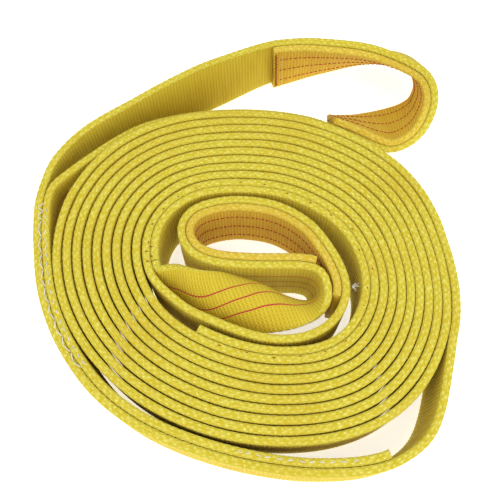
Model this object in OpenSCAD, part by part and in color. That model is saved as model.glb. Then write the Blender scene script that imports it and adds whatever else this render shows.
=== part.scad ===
// Flat eye-and-eye webbing sling, standing on its edge and wound into a flat coil.
// The webbing is one strap. It is split into named stretches where it bends most freely.

/* [Webbing] */
// Width of the webbing, which is also the height of the standing coil
strap_w = 50; // [25:1:60]
// Thickness of one ply of webbing
ply_t = 5.0; // [4.0:0.1:5.0]
// Thickness of the wear pad in each eye
pad_t = 5.0; // [2.5:0.1:5.0]
// Gap between two plies or a ply and its pad
ply_gap = 0.3; // [0.2:0.05:0.3]

/* [Coil] */
// Turns of single webbing, counted from the inner splice
coil_turns = 9.53; // [9.50:0.01:9.53]
// Long half-axis of the first turn
first_turn_a = 71; // [70.5:0.5:71]
// Short half-axis of the first turn
first_turn_b = 53.5; // [53:0.5:53.5]
// Clockwise turn of the coil's long axis
coil_tilt = 24; // [23.5:0.5:24.5]

/* [Stitching] */
// Diameter of the sewing thread
thread_d = 0.8; // [0.5:0.1:1.0]
// Length of one zigzag step along the strap
zigzag_step = 4; // [3:0.5:6]

/* [Hidden] */

webbing_yellow = [0.84, 0.80, 0.20];
pad_amber = [0.88, 0.71, 0.16];
thread_white = [0.88, 0.86, 0.84];
thread_red = [0.65, 0.08, 0.12];

// From the route's own zero, near the coil's centre, to the origin under the whole box
origin_shift = [1, -26.5, 0];

pitch_a = 5.93;          // growth of the long half-axis in one turn
pitch_b = 5.8;           // growth of the short half-axis in one turn
coil_centre = [5.3, -9];
centre_drift = [-0.4, 0.2];  // the wound centre wanders this much in one turn
// The turns are not quite oval: bulge outwards every 30 degrees, at the first turn and per turn
first_bulge = [2.4, 1.8, 0, 2, 3.2, 1.2, 0, 1, -0.6, -0.4, 2.4, 2.6];
bulge_growth = [0, -0.05, -0.1, 0.15, 0.32, -0.1, 0.2, 0.38, 0.18, 0.1, -0.06, -0.05];
coil_step = 7.5;         // degrees between points of a turn
coil_start = -28;        // degrees past the long axis, at the inner splice
joint_gap = 0.5;         // degrees left open between the coil and the inner eye
ply_pitch = ply_t + ply_gap;
pad_offset = (ply_t + pad_t) / 2 + ply_gap;
smooth = 4;              // points per route span
eye_smooth = 8;          // the same, where the outer eye twists
lift = 0.05;             // thread lies this far off the cloth

// Loose outer turn, from the coil's right side round to the outer splice
coil_end = coil_start + 360 * coil_turns;
hugging = [for (on = [5:5:15]) coil_point(coil_end + on - 360, -ply_pitch - 0.2)];
RUN = concat([coil_point(coil_end + joint_gap, 0)], hugging, [
    [115.8, -75], [108.8, -98], [100.3, -113], [87, -123.3],
    [71.5, -129.3], [50, -131.8], [22, -131], [-12, -125], [-44.3, -115], [-70.8, -102],
    [-93.3, -84], [-113.5, -57.5], [-127, -28], [-134, 4], [-136.4, 26], [-136.5, 36.4]
]);
splice_from = 7.5;       // station of the run where the folded tail ends

// Outer eye: lower and upper edge of the webbing, from the splice and back to it
OUTER_EYE = [
    [[-136.5, 36.9, 0], [-136.5, 36.9, 50]], [[-134.5, 50, 0], [-134.5, 50, 50]],
    [[-129, 67, 0], [-129, 67, 50]], [[-113, 88, 0], [-113, 88, 50]],
    [[-83, 110.5, 0], [-83, 110.5, 50]], [[-36, 137, 0.5], [-36, 141, 50]],
    [[9, 162.5, 0.8], [9, 159.5, 50]], [[30, 171, 1.7], [30, 163, 50.8]],
    [[52, 178.5, 3], [52, 163, 50.5]], [[86, 185, 8], [86, 158, 50]],
    [[114, 184, 11], [114, 148, 46]], [[130, 173, 12], [128, 135.5, 45]],
    [[134.5, 158, 9], [131.5, 119, 41]], [[129, 143.5, 6], [125.5, 102, 35]],
    [[118, 135, 4.5], [115, 91, 30]], [[103, 130, 3.5], [101, 86.5, 26.5]],
    [[88, 126, 3], [86, 87, 32]], [[74, 123.5, 3], [71, 90.8, 38]],
    [[41, 124, 2.5], [40.5, 102.2, 41]], [[5, 134.5, 1.5], [5, 107.7, 41]],
    [[-30, 131.5, 1.5], [-31, 106.4, 41.5]], [[-60, 119, 1.5], [-60.5, 100.5, 42]],
    [[-82, 103, 0.5], [-82, 90.5, 44]], [[-108, 68, 0.1], [-108, 67.2, 49]],
    [[-120, 55.5, 0], [-120, 55.5, 50]],
    [[-128.6, 46, 0], [-128.6, 46, 50]], [[-131.2, 36.9, 0], [-131.2, 36.9, 50]]
];
outer_pad_from = 6.25;   // station of the outer eye where its pad starts
outer_pad_to = 17.5;     // and where it ends

// Inner eye, standing part: from the inner splice round the ring to the twisted leg
ring_start = [for (back = [joint_gap, 3.5]) coil_point(coil_start - back, 0)];
INNER_RING = concat(ring_start, [
    [-61.9, -14.5], [-58.9, -19.1], [-53.6, -25], [-45.5, -32], [-37.5, -38],
    [-25, -44], [-5, -52], [10, -55.8], [24, -56.3], [37, -53.5], [48, -47], [55.5, -37.5],
    [59, -26], [57.5, -14], [51, 1], [38.5, 18.7], [19, 31.3], [-3, 35.8], [-20, 34.8],
    [-35, 29.8], [-42.5, 21], [-43.5, 12], [-40, 3.5], [-33, -3], [-20, -7.5], [0, -9.3],
    [18, -9.5], [29.4, -9.5]
]);
inner_pad_from = 13.6;   // station of the ring where its pad starts
inner_pad_to = 29;       // and where it ends

// Inner eye, twisted leg: first edge, middle and second edge of the webbing
TWISTED_LEG = [
    [[30, -9.5, 0], [30, -9.5, 25], [30, -9.5, 50]],
    [[38, -12, 0.8], [40, -12, 25.5], [40.5, -11.5, 50.3]],
    [[41.5, -18, 2], [45, -18.5, 26], [46.5, -18, 50]],
    [[38, -24, 7], [43, -27, 31], [48, -31, 49.5]],
    [[28, -25, 12], [35, -31, 35], [43, -41, 47]],
    [[14, -21, 19], [24, -31, 41], [34, -47, 45.5]],
    [[-1, -16.5, 31.5], [9, -28, 47], [19, -49.5, 40.5]],
    [[-17, -14.5, 45], [-8, -31, 46], [1, -47.5, 30]],
    [[-33, -12, 48.5], [-26, -33, 36], [-17, -40, 17]],
    [[-46, -9.5, 49.5], [-42, -25, 28], [-34.5, -32.5, 6]],
    [[-56.2, -11.8, 50], [-54.2, -16, 25], [-51.6, -20, 0.9]],
    for (back = [3.5, 0.8])
        [for (z = [50, 25, 0.1]) concat(coil_point(coil_start - back, ply_pitch), [z])]
];

// ---- curves ----
function spline_at(a, b, c, d, t) =
    0.5 * (2 * b + (c - a) * t + (2 * a - 5 * b + 4 * c - d) * t * t
    + (3 * b - a - 3 * c + d) * t * t * t);
function clamp_index(points, i) = points[max(0, min(len(points) - 1, i))];
function spline_point(points, u) =
    let (i = min(floor(u), len(points) - 2), t = u - i)
    spline_at(clamp_index(points, i - 1), points[i], points[i + 1],
              clamp_index(points, i + 2), t);
function spline(points, from, to, steps) =
    [for (k = [0:steps]) spline_point(points, from + (to - from) * k / steps)];
function whole_spline(points) =
    spline(points, 0, len(points) - 1, smooth * (len(points) - 1));

// Value at an angle, from a list that goes once round
function round_value(values, psi) =
    let (n = len(values), u = psi / 360 * n, i = floor(u), w = n * 100 + i)
    spline_at(values[(w - 1) % n], values[w % n], values[(w + 1) % n], values[(w + 2) % n], u - i);

// Point of the wound coil at an angle, on its centreline moved inwards by a distance
function coil_point(psi, inwards) =
    let (turns = psi / 360,
         bulge = round_value(first_bulge, psi) + turns * round_value(bulge_growth, psi) - inwards,
         x = -(first_turn_a + pitch_a * turns + bulge) * cos(psi),
         y = (first_turn_b + pitch_b * turns + bulge) * sin(psi))
    [coil_centre[0] + centre_drift[0] * turns + x * cos(coil_tilt) + y * sin(coil_tilt),
     coil_centre[1] + centre_drift[1] * turns - x * sin(coil_tilt) + y * cos(coil_tilt)];

// ---- standing strips ----
function leftward(points, i) =
    let (v = clamp_index(points, i + 1) - clamp_index(points, i - 1)) [-v[1], v[0]] / norm(v);
function shifted(points, distance) =
    [for (i = [0:len(points) - 1]) points[i] + leftward(points, i) * distance];
function backwards(list) = [for (i = [len(list) - 1:-1:0]) list[i]];
function strip_outline(points, thickness) =
    concat(shifted(points, thickness / 2), backwards(shifted(points, -thickness / 2)));

module placed() {
    translate(origin_shift) children();
}

module standing_strip(points, thickness, bottom = 0, height = strap_w) {
    placed() translate([0, 0, bottom]) linear_extrude(height)
        polygon(strip_outline(points, thickness));
}

// ---- leaning strips: each station is a row of points from one edge to the other ----
function flat_station(s) = [for (row = s) each row];
function rows_of(flat) = [for (k = [0:3:len(flat) - 1]) [flat[k], flat[k + 1], flat[k + 2]]];
function station_list(stations, from, to, steps) =
    [for (f = spline([for (s = stations) flat_station(s)], from, to, steps)) rows_of(f)];
function unit(v) = v / norm(v);
function face_normal(list, i, j) =
    let (along = clamp_index(list, i + 1)[j] - clamp_index(list, i - 1)[j],
         across = clamp_index(list[i], j + 1) - clamp_index(list[i], j - 1))
    unit(cross(along, across));
function skin(list, distance) =
    [for (i = [0:len(list) - 1]) [for (j = [0:len(list[0]) - 1])
        list[i][j] + face_normal(list, i, j) * distance]];
// Part of each row between two fractions of the width
function slice(list, low, high) =
    [for (row = list) [for (f = [low, high]) row[0] + (row[len(row) - 1] - row[0]) * f]];

module leaning_strip(list, near, far) {
    rings = [for (i = [0:len(list) - 1])
        concat(skin(list, far)[i], backwards(skin(list, near)[i]))];
    n = len(rings[0]);
    last = len(rings) - 1;
    faces = concat(
        [[for (k = [0:n - 1]) k]],
        [for (i = [0:last - 1]) for (k = [0:n - 1])
            let (a = i * n + k, b = i * n + (k + 1) % n) each [[a, a + n, b], [b, a + n, b + n]]],
        [[for (k = [n - 1:-1:0]) last * n + k]]);
    placed() polyhedron([for (ring = rings) each ring], faces);
}

// ---- routes ----
coil_steps = round((coil_end - coil_start) / coil_step);
coil_line = [for (k = [0:coil_steps])
    coil_point(coil_start + (coil_end - coil_start) * k / coil_steps, 0)];
run_line = whole_spline(RUN);
outer_splice = spline(RUN, splice_from, len(RUN) - 1, smooth * 13);
inner_tail_end = 283;    // degrees round the first turn where the folded tail stops
inner_splice = [for (psi = [coil_start:coil_step:inner_tail_end]) coil_point(psi, ply_pitch)];
ring_line = whole_spline(INNER_RING);
ring_pad_line = shifted(spline(INNER_RING, inner_pad_from, inner_pad_to, 64), pad_offset);
outer_eye_list = station_list(OUTER_EYE, 0, len(OUTER_EYE) - 1,
                              eye_smooth * (len(OUTER_EYE) - 1));
outer_pad_list = station_list(OUTER_EYE, outer_pad_from, outer_pad_to,
                              eye_smooth * (outer_pad_to - outer_pad_from));
twisted_list = station_list(TWISTED_LEG, 0, len(TWISTED_LEG) - 1,
                            smooth * (len(TWISTED_LEG) - 1));
pad_near = ply_t / 2 + ply_gap;
pad_far = pad_near + pad_t;
pad_rows = [0.22, 0.5, 0.78];      // stitch rows across the pad, as parts of its width

// Zigzag along a line, swinging to both sides of it
function line_length(points, i = 0) =
    i >= len(points) - 1 ? 0 : norm(points[i + 1] - points[i]) + line_length(points, i + 1);
function zigzag(points, swing) =
    let (side = shifted(points, swing), other = shifted(points, -swing))
    [for (i = [0:len(points) - 1]) i % 2 == 0 ? side[i] : other[i]];
function line_part(points, from, to) =
    let (last = len(points) - 1,
         steps = max(2, round(line_length(points) * (to - from) / zigzag_step)))
    [for (k = [0:steps]) spline_point(points, last * (from + (to - from) * k / steps))];

// ---- sub-parts ----
module webbing_coil() {
    color(webbing_yellow) standing_strip(coil_line, ply_t);
}

module webbing_outer_run() {
    color(webbing_yellow) standing_strip(run_line, ply_t);
}

module outer_splice_tail() {
    color(webbing_yellow) standing_strip(shifted(outer_splice, -ply_pitch), ply_t);
}

module outer_splice_stitching() {
    seam = shifted(outer_splice, -ply_pitch / 2);
    color(thread_white) for (part = [[0.06, 0.3], [0.62, 0.98]])
        standing_strip(zigzag(line_part(seam, part[0], part[1]), 2), thread_d,
                       strap_w + lift, thread_d);
}

module inner_splice_tail() {
    color(webbing_yellow) standing_strip(inner_splice, ply_t);
}

module inner_splice_stitching() {
    dash = 2.2;
    color(thread_red) for (side = [-2, 2])
        for (psi = [coil_start + 12:24:inner_tail_end - 12])
            standing_strip([coil_point(psi - 1, ply_pitch / 2 + side),
                            coil_point(psi - 1 + dash, ply_pitch / 2 + side)],
                           thread_d, strap_w + lift, thread_d);
}

module outer_eye_webbing() {
    color(webbing_yellow) leaning_strip(outer_eye_list, -ply_t / 2, ply_t / 2);
}

module outer_eye_pad() {
    color(pad_amber) leaning_strip(outer_pad_list, pad_near, pad_far);
}

module outer_pad_stitching() {
    half = thread_d / strap_w / 2;
    color(thread_red) for (f = pad_rows)
        leaning_strip(slice(outer_pad_list, f - half, f + half),
                      pad_far + lift, pad_far + lift + thread_d / 2);
}

module outer_pad_bartacks() {
    color(thread_red) for (start = [0, len(outer_pad_list) - 2])
        leaning_strip(slice([outer_pad_list[start], outer_pad_list[start + 1]], 0.08, 0.18),
                      pad_far + lift, pad_far + lift + thread_d / 2);
}

module inner_eye_webbing() {
    color(webbing_yellow) standing_strip(ring_line, ply_t);
}

module inner_eye_twisted_leg() {
    color(webbing_yellow) leaning_strip(twisted_list, -ply_t / 2, ply_t / 2);
}

module inner_eye_pad() {
    color(pad_amber) standing_strip(ring_pad_line, pad_t);
}

module inner_pad_stitching() {
    seam = shifted(ring_pad_line, pad_t / 2 + lift + thread_d / 4);
    color(thread_red) for (f = pad_rows)
        standing_strip(seam, thread_d / 2, strap_w * f - thread_d / 2, thread_d);
}

module inner_pad_bartacks() {
    seam = shifted(ring_pad_line, pad_t / 2 + lift + thread_d / 4);
    last = len(seam) - 1;
    color(thread_red) for (pair = [[seam[0], seam[1]], [seam[last - 1], seam[last]]])
        standing_strip(pair, thread_d / 2, strap_w * 0.08, strap_w * 0.1);
}

webbing_coil();
webbing_outer_run();
outer_splice_tail();
outer_splice_stitching();
inner_splice_tail();
inner_splice_stitching();
outer_eye_webbing();
outer_eye_pad();
outer_pad_stitching();
outer_pad_bartacks();
inner_eye_webbing();
inner_eye_twisted_leg();
inner_eye_pad();
inner_pad_stitching();
inner_pad_bartacks();
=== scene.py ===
"""Looks of the wound web sling: woven strips, wear pads, sewing thread and marker yarns."""

import math

import bpy
import numpy as np
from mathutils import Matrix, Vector


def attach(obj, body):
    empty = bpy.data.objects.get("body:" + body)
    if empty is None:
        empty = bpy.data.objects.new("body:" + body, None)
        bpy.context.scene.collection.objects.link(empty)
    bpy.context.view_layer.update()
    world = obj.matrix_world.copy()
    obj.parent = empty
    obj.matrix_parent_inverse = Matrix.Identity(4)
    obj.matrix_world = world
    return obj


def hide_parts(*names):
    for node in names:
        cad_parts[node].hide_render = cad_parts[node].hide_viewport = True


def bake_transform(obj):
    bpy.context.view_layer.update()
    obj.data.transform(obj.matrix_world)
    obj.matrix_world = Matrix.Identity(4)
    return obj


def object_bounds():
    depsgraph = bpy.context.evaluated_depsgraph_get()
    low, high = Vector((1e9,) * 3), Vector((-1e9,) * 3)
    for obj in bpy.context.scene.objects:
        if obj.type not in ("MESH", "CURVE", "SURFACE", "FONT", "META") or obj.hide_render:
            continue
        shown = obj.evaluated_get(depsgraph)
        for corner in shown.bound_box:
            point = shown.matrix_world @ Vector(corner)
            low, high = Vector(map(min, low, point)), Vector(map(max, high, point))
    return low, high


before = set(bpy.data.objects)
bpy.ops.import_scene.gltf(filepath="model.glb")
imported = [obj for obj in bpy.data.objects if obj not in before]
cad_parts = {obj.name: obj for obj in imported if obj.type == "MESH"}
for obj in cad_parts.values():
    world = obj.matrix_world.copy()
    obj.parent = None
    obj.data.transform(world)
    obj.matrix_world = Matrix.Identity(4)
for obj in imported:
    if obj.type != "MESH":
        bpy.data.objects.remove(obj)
cad_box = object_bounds()

# Sizes are in millimetres unless a comment says otherwise.
MM = 0.001
SHIFT = np.array([1.0, -26.5, 0.0])  # from the routes' own zero to the row frame
WIDTH = 50.0  # webbing and pads
PLY = 5.0  # webbing's thickness
PAD = 5.0  # pad's thickness
GAP = 0.3  # clear space between neighbours
PLY_PITCH = PLY + GAP
PAD_OFFSET = (PLY + PAD) / 2 + GAP
PAD_ROUNDING = 1.6
END_FADE = 30.0  # a strip's wobble fades out over this length
BLUR = 2.0  # softens a strip's bends
STRAP_STEP = 0.8

# the coil: a tilted oval spiral whose radii grow with every turn
COIL_START = -28.0  # degrees
COIL_END = COIL_START + 360 * 9.53
TAIL_END = 283.0  # degrees, end of the inner splice's second ply
SPLICE_FROM = 7.5  # place on RUN where the outer splice's second ply ends
TILT = math.radians(24)
CENTRE_X, CENTRE_Y = 5.3, -9
DRIFT_X, DRIFT_Y = 0.4, 0.2  # the centre's move in one turn
RADIUS_X, RADIUS_Y = 71, 53.5
PITCH_X, PITCH_Y = 5.93, 5.8
# what each twelfth of a turn stands out, at the start and more with every turn
FIRST_BULGE = [2.4, 1.8, 0, 2, 3.2, 1.2, 0, 1, -0.6, -0.4, 2.4, 2.6]
BULGE_GROWTH = [0, -0.05, -0.1, 0.15, 0.32, -0.1, 0.2, 0.38, 0.18, 0.1, -0.06, -0.05]

# the weave
RIB = 2.4  # one crosswise rib
COLUMN = 1.25  # one lengthwise column
DASH = 4.6  # one loop of yarn along the selvage
DASH_HEIGHT = 0.2
DASH_SINK = 0.35  # share of the loops' height that lies below the plain surface
LOOP_ROWS = 4  # rows of loops across the selvage
LOOP_LAG = 0.62  # of a loop, from one row to the next
MARKERS = (15, 25, 35)  # the marker yarns' places across the webbing

# texture position round a strip: near face, upper selvage, far face, lower selvage
FACE_V = 50.0
EDGE_V = 5.0
HALF_ROUND_V = FACE_V + EDGE_V
NEAR_FACE, FAR_FACE = 0.0, HALF_ROUND_V * MM  # where a face's texture starts, in metres
OVER, UNDER = 9, 5  # outline points on the upper and lower selvage
SQUARENESS = 0.7  # of a selvage's outline: 1 is an ellipse, and less is squarer

# where the pads start and end, as places on the eyes' routes
OUTER_PAD_FROM, OUTER_PAD_TO = 6.25, 17.5
INNER_PAD_FROM, INNER_PAD_TO = 13.6, 29
INNER_PAD_BEND_TO = 0.95  # the same pad, on TWISTED_LEG

# sewing
SEAMS = (11, 25, 39)  # the pads' three seams, across their width
STITCH = 3.6
STITCH_GAP = 0.9
STITCH_DIP = 0.45
SEAM_THREAD = 0.32  # radius
TACK_THREAD = 0.33
TACK_BARS = 22
TACK_SWING = 1.6
SEAM_LIFT = 0.28  # from a pad's face to the middle of its threads
TUBE_SIDES = 6
TUBE_TAPER = 0.45  # a thread's ends, as a share of its radius

random = np.random.RandomState(11)


# ---- curves ----
def cubic(a, b, c, d, t):
    """Smooth curve through b at 0 and c at 1, with a and d as their neighbours."""
    return 0.5 * (2 * b + (c - a) * t + (2 * a - 5 * b + 4 * c - d) * t**2
                  + (3 * b - a - 3 * c + d) * t**3)


def unit(vectors):
    return vectors / np.linalg.norm(vectors, axis=-1, keepdims=True)


def lengths(points):
    """Distance along a line, from its first point."""
    return np.concatenate([[0], np.cumsum(np.linalg.norm(np.diff(points, axis=0), axis=1))])


def spline(points, start, stop, steps):
    """Smooth line through the points, from one index to another."""
    points = np.array(points, float)
    flat = points.reshape(len(points), -1)
    last = len(flat) - 1
    u = np.linspace(start, stop, steps + 1)
    i = np.minimum(np.floor(u).astype(int), last - 1)
    t = (u - i)[:, None]
    a = flat[np.clip(i - 1, 0, last)]
    b = flat[i]
    c = flat[i + 1]
    d = flat[np.clip(i + 2, 0, last)]
    return cubic(a, b, c, d, t).reshape((-1,) + points.shape[1:])


def round_value(values, psi):
    """Smooth value at an angle, from values spaced evenly round a turn."""
    values = np.array(values, float)
    n = len(values)
    u = psi / 360 * n
    i = np.floor(u).astype(int)
    t = u - i
    return cubic(*(values[(i + k) % n] for k in (-1, 0, 1, 2)), t)


def coil_point(psi, inwards=0.0):
    """The coil's middle line at an angle in degrees, counted on through the turns."""
    psi = np.asarray(psi, float)
    turns = psi / 360
    bulge = round_value(FIRST_BULGE, psi) + turns * round_value(BULGE_GROWTH, psi) - inwards
    angle = np.radians(psi)
    x = -(RADIUS_X + PITCH_X * turns + bulge) * np.cos(angle)
    y = (RADIUS_Y + PITCH_Y * turns + bulge) * np.sin(angle)
    turned_x = CENTRE_X - DRIFT_X * turns + x * math.cos(TILT) + y * math.sin(TILT)
    turned_y = CENTRE_Y + DRIFT_Y * turns - x * math.sin(TILT) + y * math.cos(TILT)
    return np.stack([turned_x, turned_y], axis=-1)


def shifted(line, distance):
    """The line moved sideways, to its left."""
    along = unit(np.gradient(line, axis=0))
    return line + np.stack([-along[:, 1], along[:, 0]], axis=1) * distance


def standing(line):
    """Rows from the lower to the upper edge, for a strip on its edge."""
    low = np.concatenate([line, np.zeros((len(line), 1))], axis=1)
    return np.stack([low, low + [0, 0, WIDTH / 2], low + [0, 0, WIDTH]], axis=1)


def with_middle(rows):
    """Rows of lower edge, middle and upper edge from rows of the two edges."""
    return np.stack([rows[:, 0], (rows[:, 0] + rows[:, 1]) / 2, rows[:, 1]], axis=1)


def evenly(rows, step, blur):
    """Rows a fixed step apart along the strip's middle, softened along it, with their stations."""
    gaps = np.linalg.norm(np.diff(rows[:, 1], axis=0), axis=1)
    keep = np.concatenate([[True], gaps > 1e-6])
    rows = rows[keep]
    s = lengths(rows[:, 1])
    count = int(round(s[-1] / step))
    at = np.linspace(0, s[-1], count + 1)
    flat = rows.reshape(len(rows), -1)
    even = np.stack([np.interp(at, s, flat[:, k]) for k in range(flat.shape[1])], axis=1)
    reach = int(3 * blur / step)
    if reach:
        weights = np.exp(-0.5 * (np.arange(-reach, reach + 1) * step / blur) ** 2)
        weights /= weights.sum()
        head = 2 * even[0] - even[reach:0:-1]
        tail = 2 * even[-1] - even[-2:-reach - 2:-1]
        long = np.concatenate([head, even, tail])
        columns = [np.convolve(long[:, k], weights, "valid") for k in range(flat.shape[1])]
        even = np.stack(columns, axis=1)
    return even.reshape(-1, 3, 3), at


def wander(s, waves, size):
    """A slow seeded wobble along a strip, at most about size."""
    total = np.zeros_like(s)
    for wave in waves:
        total += np.sin(2 * math.pi * s / wave + random.uniform(0, 2 * math.pi))
    return total * size / len(waves)


def end_fade(s):
    """1 along a strip, falling to 0 at both ends."""
    return np.minimum(1, np.minimum(s, s[-1] - s) / END_FADE)


def width_weights(f):
    """Shares of lower edge, middle and upper edge in the point at f of the width."""
    return [2 * (f - 0.5) * (f - 1), -4 * f * (f - 1), 2 * f * (f - 0.5)]


def width_slopes(f):
    """The same for the direction across the strip."""
    return [4 * f - 3, 4 - 8 * f, 4 * f - 1]


# ---- routes, as in the CAD ----
HUGGING = [list(coil_point(COIL_END + on - 360, -PLY_PITCH - 0.2)) for on in (5, 10, 15)]
RUN = [list(coil_point(COIL_END + 0.5))] + HUGGING + [
    [115.8, -75], [108.8, -98], [100.3, -113], [87, -123.3],
    [71.5, -129.3], [50, -131.8], [22, -131], [-12, -125], [-44.3, -115], [-70.8, -102],
    [-93.3, -84], [-113.5, -57.5], [-127, -28], [-134, 4], [-136.4, 26], [-136.5, 36.4],
]
OUTER_EYE = [
    [[-136.5, 36.9, 0], [-136.5, 36.9, 50]], [[-134.5, 50, 0], [-134.5, 50, 50]],
    [[-129, 67, 0], [-129, 67, 50]], [[-113, 88, 0], [-113, 88, 50]],
    [[-83, 110.5, 0], [-83, 110.5, 50]], [[-36, 137, 0.5], [-36, 141, 50]],
    [[9, 162.5, 0.8], [9, 159.5, 50]], [[30, 171, 1.7], [30, 163, 50.8]],
    [[52, 178.5, 3], [52, 163, 50.5]], [[86, 185, 8], [86, 158, 50]],
    [[114, 184, 11], [114, 148, 46]], [[130, 173, 12], [128, 135.5, 45]],
    [[134.5, 158, 9], [131.5, 119, 41]], [[129, 143.5, 6], [125.5, 102, 35]],
    [[118, 135, 4.5], [115, 91, 30]], [[103, 130, 3.5], [101, 86.5, 26.5]],
    [[88, 126, 3], [86, 87, 32]], [[74, 123.5, 3], [71, 90.8, 38]],
    [[41, 124, 2.5], [40.5, 102.2, 41]], [[5, 134.5, 1.5], [5, 107.7, 41]],
    [[-30, 131.5, 1.5], [-31, 106.4, 41.5]], [[-60, 119, 1.5], [-60.5, 100.5, 42]],
    [[-82, 103, 0.5], [-82, 90.5, 44]], [[-108, 68, 0.1], [-108, 67.2, 49]],
    [[-120, 55.5, 0], [-120, 55.5, 50]],
    [[-128.6, 46, 0], [-128.6, 46, 50]], [[-131.2, 36.9, 0], [-131.2, 36.9, 50]],
]
INNER_RING = [list(coil_point(COIL_START - back)) for back in (0.5, 3.5)] + [
    [-61.9, -14.5], [-58.9, -19.1], [-53.6, -25], [-45.5, -32], [-37.5, -38],
    [-25, -44], [-5, -52], [10, -55.8], [24, -56.3], [37, -53.5], [48, -47], [55.5, -37.5],
    [59, -26], [57.5, -14], [51, 1], [38.5, 18.7], [19, 31.3], [-3, 35.8], [-20, 34.8],
    [-35, 29.8], [-42.5, 21], [-43.5, 12], [-40, 3.5], [-33, -3], [-20, -7.5], [0, -9.3],
    [18, -9.5], [29.4, -9.5],
]
TWISTED_LEG = [
    [[30, -9.5, 0], [30, -9.5, 25], [30, -9.5, 50]],
    [[38, -12, 0.8], [40, -12, 25.5], [40.5, -11.5, 50.3]],
    [[41.5, -18, 2], [45, -18.5, 26], [46.5, -18, 50]],
    [[38, -24, 7], [43, -27, 31], [48, -31, 49.5]],
    [[28, -25, 12], [35, -31, 35], [43, -41, 47]],
    [[14, -21, 19], [24, -31, 41], [34, -47, 45.5]],
    [[-1, -16.5, 31.5], [9, -28, 47], [19, -49.5, 40.5]],
    [[-17, -14.5, 45], [-8, -31, 46], [1, -47.5, 30]],
    [[-33, -12, 48.5], [-26, -33, 36], [-17, -40, 17]],
    [[-46, -9.5, 49.5], [-42, -25, 28], [-34.5, -32.5, 6]],
    [[-56.2, -11.8, 50], [-54.2, -16, 25], [-51.6, -20, 0.9]],
]
for back in (3.5, 0.8):
    x, y = coil_point(COIL_START - back, PLY_PITCH)
    TWISTED_LEG.append([[x, y, 50], [x, y, 25], [x, y, 0.1]])


# ---- meshes ----
def profile(thick, across, rounding):
    """Closed outline of a strip, from its near face.

    A point has its width position, offset, outward direction (offset, width), texture position,
    side of the strip (0 to 3) and place across a selvage (0 to 1).
    """
    half = thick / 2
    points = []
    for k in range(1, across + 1):
        w = rounding + (WIDTH - 2 * rounding) * k / (across + 1)
        points.append((w, -half, -1.0, 0.0, FACE_V * k / (across + 1), 0, 0))
    for k in range(OVER):
        a = math.pi * k / (OVER - 1)
        c, d = math.cos(a), max(math.sin(a), 0)
        w = WIDTH - rounding + rounding * d**SQUARENESS
        v = FACE_V + EDGE_V * k / (OVER - 1)
        points.append((w, -half * math.copysign(abs(c)**SQUARENESS, c), -c, d, v, 1, k / (OVER - 1)))
    for k in range(1, across + 1):
        w = WIDTH - rounding - (WIDTH - 2 * rounding) * k / (across + 1)
        v = HALF_ROUND_V + FACE_V * k / (across + 1)
        points.append((w, half, 1.0, 0.0, v, 2, 0))
    for k in range(UNDER):
        a = math.pi * k / (UNDER - 1)
        c, d = math.cos(a), max(math.sin(a), 0)
        w = rounding - rounding * d**SQUARENESS
        v = HALF_ROUND_V + FACE_V + EDGE_V * k / (UNDER - 1)
        points.append((w, half * math.copysign(abs(c)**SQUARENESS, c), c, -d, v, 3, k / (UNDER - 1)))
    return np.array(points)


def mesh_piece(name, verts, faces, material, uv=None):
    """Object from the routes' points, with closed faces and a texture pair per face corner."""
    mesh = bpy.data.meshes.new(name)
    mesh.from_pydata(((np.asarray(verts) + SHIFT) * MM).tolist(), [], faces)
    if uv is not None:
        layer = mesh.uv_layers.new(name="Strap")
        layer.data.foreach_set("uv", np.asarray(uv, np.float32).ravel())
    mesh.polygons.foreach_set("use_smooth", [True] * len(mesh.polygons))
    mesh.materials.append(material)
    mesh.update()
    piece = bpy.data.objects.new(name, mesh)
    bpy.context.scene.collection.objects.link(piece)
    return piece


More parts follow.
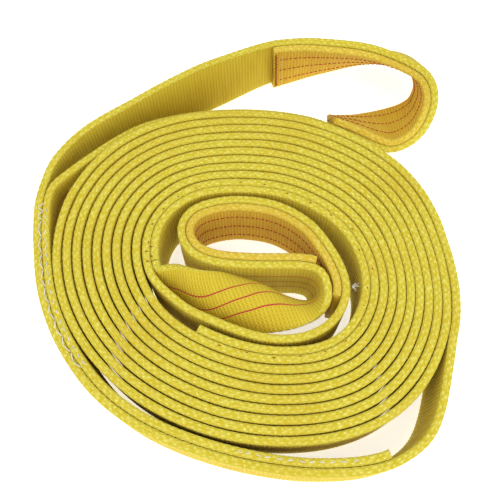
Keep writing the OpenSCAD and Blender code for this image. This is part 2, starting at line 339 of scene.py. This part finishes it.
def strip(name, rows, s, material, thick=PLY, across=14, rib_height=0.16, rounding=1.3,
          offset=0.0, s_from=0.0, height=None, sway=None):
    """A woven strip with ribbed faces and looped selvages along rows of edge, middle, edge."""
    w, n, out_n, out_w, v, side, part = profile(thick, across, rounding).T
    f = w / WIDTH
    surface = np.einsum("kr,irx->ikx", np.stack(width_weights(f), axis=1), rows)
    across_way = unit(np.einsum("kr,irx->ikx", np.stack(width_slopes(f), axis=1), rows))
    normal = unit(np.cross(np.gradient(surface, axis=0), across_way))
    s_all = s + s_from
    rib = np.cos(2 * math.pi * s_all / RIB)[:, None] * rib_height
    rows_of_loops = np.floor(np.clip(part * LOOP_ROWS, 0, LOOP_ROWS - 0.01))
    ridge = np.sin(math.pi * ((part * LOOP_ROWS) % 1.0)) ** 2
    phase = s_all[:, None] / DASH + LOOP_LAG * rows_of_loops[None, :]
    loops = (0.5 + 0.5 * np.cos(2 * math.pi * phase)) * ridge[None, :]
    loops = DASH_HEIGHT * (loops - DASH_SINK)
    is_edge = (side % 2 == 1) & (part > 0.01) & (part < 0.99)
    relief = np.where(is_edge[None, :], loops, rib)
    move_n = n[None, :] + offset + out_n[None, :] * relief
    move_w = out_w[None, :] * relief
    if height is not None:
        move_w = move_w + height[:, None]
    if sway is not None:
        move_n = move_n + sway[:, None]
    verts = surface + normal * move_n[:, :, None] + across_way * move_w[:, :, None]
    count, size = verts.shape[:2]
    i = np.arange(count - 1)[:, None]
    k = np.arange(size)[None, :]
    nxt = (k + 1) % size
    quads = np.stack([i * size + k, i * size + nxt, (i + 1) * size + nxt, (i + 1) * size + k],
                     axis=2).reshape(-1, 4)
    v_next = np.append(v[1:], 2 * HALF_ROUND_V + v[0])
    u0 = np.broadcast_to(s_all[:-1, None], (count - 1, size))
    u1 = np.broadcast_to(s_all[1:, None], (count - 1, size))
    va = np.broadcast_to(v, (count - 1, size))
    vb = np.broadcast_to(v_next, (count - 1, size))
    uv = np.stack([u0, va, u0, vb, u1, vb, u1, va], axis=2).reshape(-1, 2)
    faces = quads.tolist()
    ring = list(range(size))
    faces.append(ring[::-1])
    faces.append([(count - 1) * size + k for k in ring])
    first = np.stack([np.full(size, s_all[0]), v[::-1]], axis=1)
    last = np.stack([np.full(size, s_all[-1]), v], axis=1)
    uv = np.concatenate([uv, first, last]) * MM
    return mesh_piece(name, verts.reshape(-1, 3), faces, material, uv)


def tubes(name, lines, radius, material):
    """Closed threads along several lines, as one piece."""
    verts, faces = [], []
    base = 0
    for line in lines:
        line = np.asarray(line, float)
        along = unit(np.gradient(line, axis=0))
        side = unit(np.cross(along, [0.05, 0.02, 1.0]))  # never along a thread
        up = np.cross(side, along)
        count = len(line)
        scale = np.full(count, radius)
        scale[[0, -1]] *= TUBE_TAPER
        for i in range(count):
            for k in range(TUBE_SIDES):
                a = 2 * math.pi * k / TUBE_SIDES
                verts.append(line[i] + (side[i] * math.cos(a) + up[i] * math.sin(a)) * scale[i])
        for i in range(count - 1):
            for k in range(TUBE_SIDES):
                a = base + i * TUBE_SIDES + k
                b = base + i * TUBE_SIDES + (k + 1) % TUBE_SIDES
                faces.append([a, b, b + TUBE_SIDES, a + TUBE_SIDES])
        faces.append([base + k for k in range(TUBE_SIDES)][::-1])
        faces.append([base + (count - 1) * TUBE_SIDES + k for k in range(TUBE_SIDES)])
        base += count * TUBE_SIDES
    return mesh_piece(name, verts, faces, material)


# ---- materials ----
class Nodes:
    """A short way to write a material's node tree."""

    def __init__(self, name, roughness, sheen, sheen_tint):
        self.material = bpy.data.materials.new(name)
        self.material.use_nodes = True
        self.tree = self.material.node_tree
        self.shader = self.tree.nodes["Principled BSDF"]
        self.shader.inputs["Roughness"].default_value = roughness
        self.shader.inputs["Sheen Weight"].default_value = sheen
        self.shader.inputs["Sheen Roughness"].default_value = 0.5
        self.shader.inputs["Sheen Tint"].default_value = (*sheen_tint, 1)
        self.shader.inputs["Specular IOR Level"].default_value = 0.25

    def put(self, socket, value):
        if isinstance(value, bpy.types.NodeSocket):
            self.tree.links.new(value, socket)
        else:
            socket.default_value = value

    def math(self, operation, a, b=0.0, c=0.0, clamp=False):
        node = self.tree.nodes.new("ShaderNodeMath")
        node.operation = operation
        node.use_clamp = clamp
        for socket, value in zip(node.inputs, (a, b, c)):
            self.put(socket, value)
        return node.outputs[0]

    def step(self, value, low, high):
        """0 below low, 1 above high, smooth between."""
        node = self.tree.nodes.new("ShaderNodeMapRange")
        node.interpolation_type = "SMOOTHSTEP"
        for name, v in (("Value", value), ("From Min", low), ("From Max", high)):
            self.put(node.inputs[name], v)
        return node.outputs["Result"]

    def vector(self, x, y, z=0.0):
        node = self.tree.nodes.new("ShaderNodeCombineXYZ")
        for socket, value in zip(node.inputs, (x, y, z)):
            self.put(socket, value)
        return node.outputs[0]

    def noise(self, vector, scale, detail=2.0):
        node = self.tree.nodes.new("ShaderNodeTexNoise")
        self.put(node.inputs["Vector"], vector)
        node.inputs["Scale"].default_value = scale
        node.inputs["Detail"].default_value = detail
        return node.outputs["Fac"]

    def mix(self, factor, a, b):
        node = self.tree.nodes.new("ShaderNodeMix")
        node.data_type = "RGBA"
        self.put(node.inputs[0], factor)
        for socket, value in ((node.inputs[6], a), (node.inputs[7], b)):
            self.put(socket, value if isinstance(value, bpy.types.NodeSocket) else (*value, 1))
        return node.outputs[2]

    def strap(self):
        """Place along the strip and round it, both in metres."""
        node = self.tree.nodes.new("ShaderNodeUVMap")
        node.uv_map = "Strap"
        parts = self.tree.nodes.new("ShaderNodeSeparateXYZ")
        self.tree.links.new(node.outputs[0], parts.inputs[0])
        return parts.outputs[0], parts.outputs[1]

    def place(self):
        node = self.tree.nodes.new("ShaderNodeTexCoord")
        return node.outputs["Object"]

    def bump(self, height, distance, strength=1.0):
        node = self.tree.nodes.new("ShaderNodeBump")
        node.inputs["Strength"].default_value = strength
        node.inputs["Distance"].default_value = distance
        self.put(node.inputs["Height"], height)
        self.tree.links.new(node.outputs[0], self.shader.inputs["Normal"])

    def colour(self, value):
        self.put(self.shader.inputs["Base Color"], value)
        return self.material


MARKER = (0.50, 0.015, 0.035)


def woven(name, light, middle, dark, deep, marker_face=None, rib_contrast=0.5):
    """Webbing: ribs and warp columns on the faces, rows of yarn loops along the selvages."""
    m = Nodes(name, 0.78, 0.35, light)
    s, v = m.strap()
    round_v = m.math("FLOORED_MODULO", v, HALF_ROUND_V * MM)
    edge = m.step(round_v, 0.0496, 0.0502)  # 1 on a selvage
    # selvage loops
    row_at = m.math("MULTIPLY", m.math("SUBTRACT", round_v, FACE_V * MM),
                    LOOP_ROWS / (EDGE_V * MM))
    row = m.math("FLOOR", row_at)
    jitter = m.noise(m.vector(s, m.math("MULTIPLY", row, 0.37)), 130, 3)
    t = m.math("ADD", m.math("DIVIDE", s, DASH * MM), m.math("MULTIPLY", row, LOOP_LAG))
    t = m.math("ADD", t, m.math("MULTIPLY", jitter, 1.5))
    wave = m.math("COSINE", m.math("MULTIPLY", t, 2 * math.pi))
    loop = m.step(wave, -0.5, 1.0)
    across = m.math("SINE", m.math("MULTIPLY", m.math("FRACT", row_at), math.pi))
    loop = m.math("MULTIPLY", loop, m.step(across, 0.0, 0.9))
    grain = m.noise(m.vector(m.math("MULTIPLY", s, 0.3), v), 1000, 3)
    grain = m.math("MULTIPLY_ADD", grain, 2.2, -0.95)
    loop = m.math("MULTIPLY_ADD", loop, 0.6, grain, clamp=True)
    # faces: ribs and columns
    rib = m.math("COSINE", m.math("MULTIPLY", s, 2 * math.pi / (RIB * MM)))
    rib = m.math("MULTIPLY_ADD", rib, 0.5, 0.5)
    column_at = m.math("DIVIDE", round_v, COLUMN * MM)
    half = m.math("MULTIPLY", m.math("FLOOR", column_at), 0.5)
    weft = m.math("ADD", m.math("DIVIDE", s, RIB * MM), half)
    weft = m.math("COSINE", m.math("MULTIPLY", weft, 2 * math.pi))
    column = m.math("SINE", m.math("MULTIPLY", m.math("FRACT", column_at), math.pi))
    cell = m.math("MULTIPLY", m.step(weft, -0.6, 0.6), m.step(column, 0.1, 0.8))
    streak = m.noise(m.vector(s, m.math("MULTIPLY", v, 0.12)), 260, 3)
    weave = m.math("ADD", m.math("MULTIPLY", rib, rib_contrast),
                   m.math("MULTIPLY", cell, 1 - rib_contrast))
    weave = m.math("ADD", weave, m.math("MULTIPLY_ADD", streak, 0.7, -0.35), clamp=True)
    # fibres, worn patches and the mix of it all
    fibres = m.noise(m.vector(s, m.math("MULTIPLY", v, 3.5)), 900, 3)
    patch = m.noise(m.place(), 22, 3)
    # the selvages get lighter colours than the faces: painted light on the up-facing selvages and
    # painted shade on the faces
    on_edge = m.mix(loop, deep, light)
    on_edge = m.mix(m.step(fibres, 0.35, 0.6), m.mix(0.45, on_edge, dark), on_edge)
    on_face = m.mix(weave, dark, middle)
    colour = m.mix(edge, on_face, on_edge)
    colour = m.mix(m.math("MULTIPLY", m.step(patch, 0.45, 0.7), 0.3), colour, dark)
    if marker_face is not None:
        drift = m.noise(m.vector(s, 0.0, 0.0), 45, 1)
        shifted_v = m.math("ADD", v, m.math("MULTIPLY_ADD", drift, 0.0030, -0.0015))
        total = None
        for at in MARKERS:
            off = m.math("ABSOLUTE", m.math("SUBTRACT", shifted_v, marker_face + at * MM))
            line = m.math("SUBTRACT", 1.0, m.step(off, 0.0004, 0.0007))
            total = line if total is None else m.math("MAXIMUM", total, line)
        floats = m.math("MULTIPLY_ADD", m.step(rib, 0.05, 0.4), 0.3, 0.7)
        colour = m.mix(m.math("MULTIPLY", total, floats), colour, MARKER)
    height = m.mix(edge, m.vector(weave, weave, weave), m.vector(loop, loop, loop))
    height = m.math("ADD", height, m.math("MULTIPLY", fibres, 0.35))
    m.bump(height, 0.00045, 0.9)
    return m.colour(colour)


def thread(name, light, dark):
    """Twisted sewing thread."""
    m = Nodes(name, 0.6, 0.4, light)
    place = m.place()
    twist = m.noise(place, 1500, 2)
    slow = m.noise(place, 160, 2)
    amount = m.math("MULTIPLY_ADD", slow, 0.6, m.math("MULTIPLY", twist, 0.4))
    m.bump(twist, 0.0002, 0.8)
    return m.colour(m.mix(m.step(amount, 0.3, 0.7), dark, light))


# webbing colours: the faces' darker golden YELLOW and OLIVE are partly painted shade, the selvages'
# lighter LEMON partly painted light, over the webbing's own lemon yellow
LEMON = (0.86, 0.82, 0.17)
YELLOW = (0.80, 0.67, 0.05)
OLIVE = (0.60, 0.41, 0.02)
DEEP = (0.62, 0.50, 0.018)
strap_left = woven("webbing marked on its near face", LEMON, YELLOW, OLIVE, DEEP, NEAR_FACE)
strap_right = woven("webbing marked on its far face", LEMON, YELLOW, OLIVE, DEEP, FAR_FACE)
pad_weave = woven("wear pad", (0.85, 0.74, 0.15), (0.82, 0.57, 0.045), (0.60, 0.33, 0.018),
                  (0.68, 0.48, 0.028), rib_contrast=0.6)
white = thread("off-white thread", (0.86, 0.84, 0.78), (0.62, 0.58, 0.46))
red = thread("red thread", (0.55, 0.02, 0.03), (0.28, 0.012, 0.015))
dark_red = thread("dark red thread", (0.32, 0.03, 0.02), (0.14, 0.01, 0.01))
rust = thread("rust thread", (0.45, 0.09, 0.015), (0.22, 0.02, 0.01))


def floor_material():
    m = Nodes("pale floor", 0.9, 0.0, (1, 1, 1))
    grain = m.noise(m.place(), 30, 2)
    m.shader.inputs["Emission Color"].default_value = (1, 1, 1, 1)
    m.shader.inputs["Emission Strength"].default_value = 0.6
    return m.colour(m.mix(grain, (0.93, 0.93, 0.93), (0.95, 0.95, 0.95)))


# ---- the webbing ----
def body_blend(piece):
    """Bakes the piece's placement into its mesh."""
    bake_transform(piece)


def build_coil():
    """The wound turns. Returns their length, where the outer strap's weave goes on."""
    line = coil_point(np.linspace(COIL_START, COIL_END, 9000))
    rows, s = evenly(standing(line), 1.0, 0)
    height = wander(s, (37, 61, 23), 0.35) + wander(s, (190, 330), 0.3) - 0.2
    sway = wander(s, (53, 88, 141), 0.1)
    fade = end_fade(s)
    piece = strip("coil_webbing", rows, s, strap_left, across=2, rib_height=0.1,
                  height=height * fade, sway=sway * fade)
    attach(piece, "coil")
    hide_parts("webbing_coil")
    return s[-1]


def build_outer_strap(s_from):
    """The loose outer turn, the outer eye and the splice's second ply, in one strip."""
    run = spline(RUN, 0, len(RUN) - 1, 900)
    run = np.concatenate([[coil_point(COIL_END)], run])
    eye = with_middle(spline(OUTER_EYE, 0, len(OUTER_EYE) - 1, 1300))
    splice = spline(RUN, SPLICE_FROM, len(RUN) - 1, 600)
    tail = shifted(splice, -PLY_PITCH)[::-1]
    rows = np.concatenate([standing(run), eye, standing(tail)])
    rows, s = evenly(rows, STRAP_STEP, BLUR)
    height = wander(s, (41, 67), 0.25) * end_fade(s)
    piece = strip("outer_strap_and_eye", rows, s, strap_left, s_from=s_from, height=height)
    body_blend(piece)
    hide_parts("webbing_outer_run", "outer_eye_webbing", "outer_splice_tail")


def build_inner_tail():
    line = coil_point(np.linspace(COIL_START, TAIL_END, 900), PLY_PITCH)
    rows, s = evenly(standing(line), STRAP_STEP, 0)
    height = wander(s, (47, 71), 0.3) * end_fade(s)
    piece = strip("inner_splice_ply", rows, s, strap_left, height=height)
    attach(piece, "coil")
    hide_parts("inner_splice_tail")


def build_inner_strap():
    """The inner eye's ring and its half-twisted leg, in one strip."""
    ring = spline(INNER_RING, 0, len(INNER_RING) - 1, 900)
    ring = np.concatenate([[coil_point(COIL_START)], ring])
    leg = spline(TWISTED_LEG, 0, len(TWISTED_LEG) - 1, 500)
    rows, s = evenly(np.concatenate([standing(ring), leg]), STRAP_STEP, BLUR)
    piece = strip("inner_eye_strap", rows, s, strap_right)
    body_blend(piece)
    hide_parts("inner_eye_webbing", "inner_eye_twisted_leg")


# ---- the wear pads and their sewing ----
def surface_at(rows, w, offset):
    """Points at width position w, offset from the strip's middle."""
    f = w / WIDTH
    point = sum(share * rows[:, r] for r, share in enumerate(width_weights(f)))
    across = sum(share * rows[:, r] for r, share in enumerate(width_slopes(f)))
    return point + unit(np.cross(np.gradient(point, axis=0), across)) * offset


def stitch_rows(rows, s, offset):
    """Three seams along a pad, as arched stitches of uneven length."""
    lines = []
    for w in SEAMS:
        line = surface_at(rows, w, offset)
        dip = surface_at(rows, w, offset - math.copysign(STITCH_DIP, offset))
        start = 3.0 + random.uniform(0, 2)
        while start + STITCH < s[-1] - 3:
            at = np.linspace(start, start + STITCH - STITCH_GAP, 7)
            arch = np.sin(np.linspace(0, math.pi, 7)) ** 0.5
            on = np.stack([np.interp(at, s, line[:, k]) for k in range(3)], axis=1)
            under = np.stack([np.interp(at, s, dip[:, k]) for k in range(3)], axis=1)
            lines.append(under + (on - under) * arch[:, None])
            start += STITCH * random.uniform(0.94, 1.06)
    return lines


def bartack(rows, s, at, offset):
    """A close zigzag across a pad near one of its ends."""
    points = []
    for k, w in enumerate(np.linspace(4, 46, TACK_BARS)):
        where = at + (TACK_SWING if k % 2 else 0)
        i = int(np.argmin(np.abs(s - where)))
        points.append(surface_at(rows, w, offset)[i])
    return spline(points, 0, len(points) - 1, 6 * (len(points) - 1))


def end_bartacks(rows, s, offset):
    return [bartack(rows, s, at, offset) for at in (1.2, s[-1] - 2.8)]


def build_outer_pad():
    eye = with_middle(spline(OUTER_EYE, OUTER_PAD_FROM, OUTER_PAD_TO, 800))
    rows, s = evenly(eye, STRAP_STEP, BLUR)
    pad = strip("outer_wear_pad", rows, s, pad_weave, thick=PAD, offset=PAD_OFFSET,
                rib_height=0.2, rounding=PAD_ROUNDING)
    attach(pad, "outer_eye")
    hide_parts("outer_eye_pad")
    face = PAD_OFFSET + PAD / 2 + SEAM_LIFT
    rows_of_thread = tubes("outer_pad_seams", stitch_rows(rows, s, face), SEAM_THREAD, red)
    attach(rows_of_thread, "outer_eye")
    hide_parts("outer_pad_stitching")
    tacks = end_bartacks(rows, s, face)
    piece = tubes("outer_pad_bartack_threads", tacks, TACK_THREAD, rust)
    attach(piece, "outer_eye")
    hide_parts("outer_pad_bartacks")
    end_seam = stitch_rows_across(rows, s, 6.5, face)
    piece = tubes("outer_pad_end_seam", end_seam, 0.28, white)
    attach(piece, "outer_eye")


def stitch_rows_across(rows, s, at, offset):
    """A row of small stitches across the strip."""
    lines = []
    i = int(np.argmin(np.abs(s - at)))
    for low in np.arange(4, 44, 3.4):
        widths = np.linspace(low, low + 2.0, 5)
        arch = np.sin(np.linspace(0, math.pi, 5)) ** 0.5
        lines.append([surface_at(rows, w, offset - 0.4 * (1 - a))[i]
                      for w, a in zip(widths, arch)])
    return lines


def build_inner_pad():
    """The pad goes a little way round the bend into the twisted leg."""
    ring = standing(spline(INNER_RING, INNER_PAD_FROM, INNER_PAD_TO, 900))
    bend = spline(TWISTED_LEG, 0, INNER_PAD_BEND_TO, 60)
    rows, s = evenly(np.concatenate([ring, bend]), STRAP_STEP, BLUR)
    pad = strip("inner_wear_pad", rows, s, pad_weave, thick=PAD, offset=-PAD_OFFSET,
                rib_height=0.2, rounding=PAD_ROUNDING)
    body_blend(pad)
    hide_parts("inner_eye_pad")
    face = -PAD_OFFSET - PAD / 2 - SEAM_LIFT
    seams = tubes("inner_pad_seams", stitch_rows(rows, s, face), SEAM_THREAD, red)
    body_blend(seams)
    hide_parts("inner_pad_stitching")
    tacks = end_bartacks(rows, s, face)
    piece = tubes("inner_pad_bartack_threads", tacks, TACK_THREAD, rust)
    body_blend(piece)
    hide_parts("inner_pad_bartacks")


# ---- sewing on the splices ----
def build_outer_splice_thread():
    """White zigzags over the seam between the splice's two plies."""
    splice = spline(RUN, SPLICE_FROM, len(RUN) - 1, 900)
    seam = shifted(splice, -PLY_PITCH / 2)
    flat = np.concatenate([seam, np.zeros((len(seam), 1))], axis=1)
    s = lengths(flat)
    side = shifted(seam, 1.0) - seam
    lines = []
    # offset from the seam, half the zigzag's width, stitch length, gap to the next
    main, faint = (0.6, 0.9, 5.2, 0.5), (-2.9, 0.3, 3.4, 2.8)
    # shares of the splice's length from and to, and the zigzags there
    for low, high, runs in ((0.06, 0.28, [faint]), (0.62, 0.98, [main, faint])):
        for offset, wave, stitch, gap in runs:
            at = low * s[-1]
            swing = 1
            while at < high * s[-1]:
                near_end = high * s[-1] - at < 14  # the stitches get wider and closer
                reach = 1.8 if near_end and offset > 0 else wave
                span = np.linspace(at, at + (2.6 if near_end else stitch), 7)
                across = offset + np.linspace(-reach, reach, 7) * swing
                x = np.interp(span, s, seam[:, 0]) + across * np.interp(span, s, side[:, 0])
                y = np.interp(span, s, seam[:, 1]) + across * np.interp(span, s, side[:, 1])
                z = WIDTH - 0.15 + 0.5 * np.sin(np.linspace(0, math.pi, 7)) ** 0.5
                lines.append(np.stack([x, y, z], axis=1))
                at = span[-1] + gap * random.uniform(0.6, 1.4)
                swing = -swing
    piece = tubes("outer_splice_thread", lines, 0.34, white)
    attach(piece, "coil")
    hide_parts("outer_splice_stitching")


def build_inner_splice_thread():
    """Single dark stitches between the plies, then four short bars at the strap's end."""
    lines = []
    for psi in np.arange(COIL_START + 12, TAIL_END - 12, 13):
        side = random.choice([-2.0, 2.0, -1.2])
        ends = [psi - 0.6, psi + 0.7]
        points = coil_point(np.linspace(ends[0], ends[1], 5), PLY_PITCH / 2 + side)
        z = WIDTH - 0.15 + 0.4 * np.sin(np.linspace(0, math.pi, 5))
        lines.append(np.concatenate([points, z[:, None]], axis=1))
    for k, psi in enumerate(np.linspace(COIL_START - 1, COIL_START + 9, 4)):
        across = [4.6, 2.4] if k % 2 else [1.6, -0.8]
        ends = np.stack([coil_point(psi, inwards) for inwards in np.linspace(*across, 6)])
        z = WIDTH - 0.2 + 0.4 * np.sin(np.linspace(0, math.pi, 6)) ** 0.5
        lines.append(np.concatenate([ends, z[:, None]], axis=1))
    piece = tubes("inner_splice_stitches", lines, 0.26, dark_red)
    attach(piece, "coil")
    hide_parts("inner_splice_stitching")


def build_tuft():
    """Loose white thread ends at the inner eye's sewn end."""
    lines = []
    for _ in range(9):
        root = np.array([62.6 + random.uniform(-0.4, 0.4), -24.5 + random.uniform(-1, 1), 49.6])
        lean = np.array([random.uniform(0.1, 1.0), random.uniform(-1, 1), random.uniform(0.6, 1.2)])
        curl = np.array([random.uniform(-1, 1), random.uniform(-1, 1), -0.6])
        t = np.linspace(0, 1, 7)[:, None]
        lines.append(root + lean * t * 3.2 + curl * t**2 * 1.3)
    piece = tubes("thread_tuft", lines, 0.16, white)
    body_blend(piece)


# ---- stage ----
def build_stage():
    mesh = bpy.data.meshes.new("floor")
    size = 3.0  # m, half a side
    z = cad_box[0][2] - 0.0004  # just under the lowest CAD point
    corners = [(-size, -size, z), (size, -size, z), (size, size, z), (-size, size, z)]
    mesh.from_pydata(corners, [], [(0, 1, 2, 3)])
    mesh.materials.append(floor_material())
    floor = bpy.data.objects.new("floor", mesh)
    bpy.context.scene.collection.objects.link(floor)


def aimed(place, target):
    """Rotation of a lamp or camera at place that looks at target."""
    return (Vector(target) - Vector(place)).to_track_quat("-Z", "Y").to_euler()


def add_light(name, place, power):
    lamp = bpy.data.lights.new(name, "AREA")
    lamp.energy = power
    lamp.size = 0.9
    holder = bpy.data.objects.new(name, lamp)
    holder.location = place
    holder.rotation_euler = aimed(place, (0, 0, 0))
    bpy.context.scene.collection.objects.link(holder)


def build_lights_and_camera():
    world = bpy.data.worlds.new("studio")
    bpy.context.scene.world = world
    world.use_nodes = True
    sky = world.node_tree.nodes["Background"]
    sky.inputs[0].default_value = (1, 1, 1, 1)
    sky.inputs[1].default_value = 0.78
    add_light("key", (-0.4, -0.3, 1.0), 3.6)
    add_light("fill", (0.7, -0.7, 0.6), 4.0)
    lens = bpy.data.cameras.new("camera")
    lens.sensor_width = 36
    lens.lens = 46.08
    camera = bpy.data.objects.new("camera", lens)
    camera.location = (0.001, -0.1795, 0.420)
    camera.rotation_euler = aimed(camera.location, (0.001, -0.0265, 0.050))
    bpy.context.scene.collection.objects.link(camera)
    bpy.context.scene.camera = camera
    bpy.context.scene.view_settings.view_transform = "Standard"


coil_length = build_coil()
build_outer_strap(coil_length)
build_inner_tail()
build_inner_strap()
build_outer_pad()
build_inner_pad()
build_outer_splice_thread()
build_inner_splice_thread()
build_tuft()
build_stage()
build_lights_and_camera()
